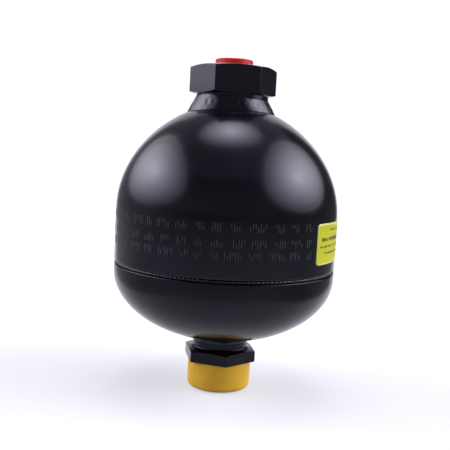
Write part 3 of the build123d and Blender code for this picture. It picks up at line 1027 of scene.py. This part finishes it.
def placeCamera(place):
    # Looks level, then down by the pitch and aside by the yaw; the roll turns it about its own view,
    # and the azimuth carries it round the vessel's axis.
    sinYaw, cosYaw = math.sin(place["yaw"]), math.cos(place["yaw"])
    sinPitch, cosPitch = math.sin(place["pitch"]), math.cos(place["pitch"])
    forward = Vector((sinYaw * cosPitch, cosYaw * cosPitch, -sinPitch))
    right = Vector((cosYaw, -sinYaw, 0))
    up = right.cross(forward)
    sinRoll, cosRoll = math.sin(place["roll"]), math.cos(place["roll"])
    across = right * cosRoll + up * sinRoll
    upright = up * cosRoll - right * sinRoll
    axes = Matrix((across, upright, -forward)).transposed().to_4x4()
    stand = Matrix.Translation((0, -place["distance"], place["height"])) @ axes
    lensData = bpy.data.cameras.new("studio camera")
    lensData.sensor_width = 36
    lensData.lens = place["lens"]
    lensData.clip_start = 0.01
    lensData.clip_end = 50
    camera = bpy.data.objects.new("studio camera", lensData)
    camera.matrix_world = Matrix.Rotation(place["azimuth"], 4, "Z") @ stand
    bpy.context.scene.collection.objects.link(camera)
    bpy.context.scene.camera = camera


placeCamera(cameraPlace)

# Lamps: azimuth from the camera's side of the vessel, anticlockwise seen from above; across and
# upright are half angles, all in degrees. Each lamp is a stack of elliptical panels, from full size
# down to a small bright middle: their glow adds up to a cone.
leftSoftbox = {
    "azimuth": -94,
    "elevation": 29.5,
    "distance": 1.7,
    "across": 42,
    "upright": 25,
    "peak": 10.8,
}
rightSoftbox = {
    "azimuth": 88,
    "elevation": 32.5,
    "distance": 1.7,
    "across": 39,
    "upright": 28,
    "peak": 12.3,
}
overheadLamp = {
    "azimuth": 180,
    "elevation": 83,
    "distance": 1.6,
    "across": 21,
    "upright": 19,
    "peak": 9.5,
}
lamps = {"left softbox": leftSoftbox, "right softbox": rightSoftbox, "overhead": overheadLamp}
panelsPerLamp = 7
panelGap = 0.01
panelTaper = 1.6  # above 1, the glow gathers towards the middle
lampColour = (0.96, 0.945, 1.03)
target = Vector((0, 0, 0.1))
for name, lamp in lamps.items():
    azimuth = math.radians(lamp["azimuth"]) + cameraPlace["azimuth"]
    elevation = math.radians(lamp["elevation"])
    out = Vector((
        math.sin(azimuth) * math.cos(elevation),
        -math.cos(azimuth) * math.cos(elevation),
        math.sin(elevation),
    ))
    for layer in range(panelsPerLamp):
        distance = lamp["distance"] + panelGap * layer
        size = (1 - layer / panelsPerLamp) ** panelTaper
        halfWidth = distance * math.tan(math.radians(lamp["across"]) * size)
        halfHeight = distance * math.tan(math.radians(lamp["upright"]) * size)
        radiance = lamp["peak"] / panelsPerLamp
        light = bpy.data.lights.new(f"{name} {layer}", "AREA")
        light.shape = "ELLIPSE"
        light.size = 2 * halfWidth
        light.size_y = 2 * halfHeight
        light.energy = radiance * math.pi * math.pi * halfWidth * halfHeight  # watts
        light.color = lampColour
        panel = bpy.data.objects.new(f"{name} {layer}", light)
        panel.location = target + out * distance
        panel.rotation_euler = out.to_track_quat("Z", "Y").to_euler()
        panel.visible_camera = False
        bpy.context.scene.collection.objects.link(panel)

stage = {
    "floorZ": -0.0002,
    "floorHole": 0.0005,
    "floorFirst": 0.02,
    "floorRadius": 2.4,
    "floorRows": 60,
    "coveRadius": 0.9,
    "coveRows": 16,
    "columns": 180,
    "wallHeight": 2.2,
    "frontTone": 0.44,
    "frontFarTone": 0.13,
    "sideTone": 0.18,
    "sideFarTone": 0.07,
    "wallTone": 0.33,
    "farFrom": 0.2,
    "farTo": 1.2,
    "sideFrom": -0.9,
    "sideTo": 0.0,
    "wallFrom": 0.0,
    "wallTo": 0.5,
    "floorLight": 1.5,
    "wallLight": 0.8,
    "white": 1.10,
    "apex": 0.392,
    "whiteFront": 0.11,
    "greyFront": 0.165,
    "whiteHalfAngle": 19.3,
    "greyHalfAngle": 23,
    "leftGlow": 0.20,
    "rightGlow": 0.02,
    "glowColour": (0.955, 0.96, 1.06),
    "skyColour": (0.96, 0.98, 1.1),
    "skyLevel": 0.26,
}


def stageMaterial(name, spec):
    # Matt paper, its tone in the sheet's own attribute. What the camera, gloss and glass see is lifted
    # by a glow that a second attribute holds; the light that falls on the part isn't.
    material = bpy.data.materials.new(name)
    material.use_nodes = True
    tree = material.node_tree
    shader = next(node for node in tree.nodes if node.type == "BSDF_PRINCIPLED")
    tone = tree.nodes.new("ShaderNodeAttribute")
    tone.attribute_name = "tone"
    tree.links.new(tone.outputs["Fac"], shader.inputs["Base Color"])
    shader.inputs["Roughness"].default_value = 1
    shader.inputs["Specular IOR Level"].default_value = 0
    shader.inputs["Emission Color"].default_value = (*spec["glowColour"], 1)
    path = tree.nodes.new("ShaderNodeLightPath")
    seen = path.outputs["Is Camera Ray"]
    for ray in ("Is Glossy Ray", "Is Transmission Ray"):
        either = tree.nodes.new("ShaderNodeMath")
        either.operation = "MAXIMUM"
        tree.links.new(seen, either.inputs[0])
        tree.links.new(path.outputs[ray], either.inputs[1])
        seen = either.outputs[0]
    glow = tree.nodes.new("ShaderNodeAttribute")
    glow.attribute_name = "glow"
    lift = tree.nodes.new("ShaderNodeMath")
    lift.operation = "MULTIPLY"
    tree.links.new(seen, lift.inputs[0])
    tree.links.new(glow.outputs["Fac"], lift.inputs[1])
    tree.links.new(lift.outputs[0], shader.inputs["Emission Strength"])
    return material


def smoothStep(value, start, stop):
    # 0 before start and 1 after stop, joined by half a cosine wave.
    return 0.5 - 0.5 * np.cos(np.pi * np.clip((value - start) / (stop - start), 0, 1))


def paintStage(piece, spec, backAngle):
    # Tone: the floor is paler in front of the part than beside and behind it, by the cosine of the
    # angle from the back, and the wall is darker still. Glow: it makes up what the paper lacks of
    # white in a sector behind the part whose apex lies in front of it, and falls by a cosine step to
    # each side's own level outside.
    points = np.empty(len(piece.data.vertices) * 3)
    piece.data.vertices.foreach_get("co", points)
    points = points.reshape(-1, 3)
    ahead = points[:, 0] * math.cos(backAngle) + points[:, 1] * math.sin(backAngle)
    leftward = points[:, 1] * math.cos(backAngle) - points[:, 0] * math.sin(backAngle)
    fromAxis = np.hypot(ahead, leftward)
    fromApex = np.degrees(np.arctan2(np.abs(leftward), ahead + spec["apex"]))
    outside = smoothStep(fromApex, spec["whiteHalfAngle"], spec["greyHalfAngle"])
    outside = np.maximum(outside, smoothStep(-ahead, spec["whiteFront"], spec["greyFront"]))
    away = smoothStep(fromAxis, spec["farFrom"], spec["farTo"])
    facing = smoothStep(ahead / fromAxis, spec["sideFrom"], spec["sideTo"])
    onWall = smoothStep(points[:, 2], spec["wallFrom"], spec["wallTo"])
    nearTone = spec["frontTone"] + (spec["sideTone"] - spec["frontTone"]) * facing * outside
    farTone = spec["frontFarTone"] + (spec["sideFarTone"] - spec["frontFarTone"]) * facing
    tone = nearTone + (farTone - nearTone) * away
    tone += (spec["wallTone"] - tone) * onWall * (1 - facing * outside)
    light = spec["floorLight"] + (spec["wallLight"] - spec["floorLight"]) * away
    lift = np.maximum(spec["white"] - tone * light, 0)
    sideGlow = np.where(leftward > 0, spec["leftGlow"], spec["rightGlow"]) * facing
    glow = lift + (sideGlow - lift) * outside
    for name, value in (("tone", tone), ("glow", glow)):
        layer = piece.data.attributes.new(name, "FLOAT", "POINT")
        layer.data.foreach_set("value", value.astype(np.float32))


def stageSection(spec):
    # A flat floor, a quarter circle up to the wall, and the wall.
    coveStart = spec["floorRadius"] - spec["coveRadius"]
    flat = np.geomspace(spec["floorFirst"], coveStart, spec["floorRows"])
    flat = np.concatenate([[spec["floorHole"]], flat])
    floorLine = np.stack([flat, np.full_like(flat, spec["floorZ"])], axis=-1)
    t = np.linspace(0, np.pi / 2, spec["coveRows"])[1:]
    cove = np.stack([
        spec["floorRadius"] - spec["coveRadius"] * (1 - np.sin(t)),
        spec["floorZ"] + spec["coveRadius"] * (1 - np.cos(t)),
    ], axis=-1)
    top = [[spec["floorRadius"], spec["wallHeight"]]]
    return np.concatenate([floorLine, cove, top])[:, None, :]


sheetPoints = spin(stageSection(stage), roundAngles(stage["columns"]))
sheet = skin("backdrop", sheetPoints, closeRows=False)
sheet.data.flip_normals()
paintStage(sheet, stage, math.pi / 2 + cameraPlace["azimuth"])
sheet.data.materials.append(stageMaterial("backdropPaper", stage))

world = bpy.data.worlds.new("studio room")
bpy.context.scene.world = world
world.use_nodes = True
sky = next(node for node in world.node_tree.nodes if node.type == "BACKGROUND")
sky.inputs["Color"].default_value = (*(stage["skyLevel"] * tint for tint in stage["skyColour"]), 1)
bpy.context.scene.view_settings.view_transform = "Standard"
print("studio lit")
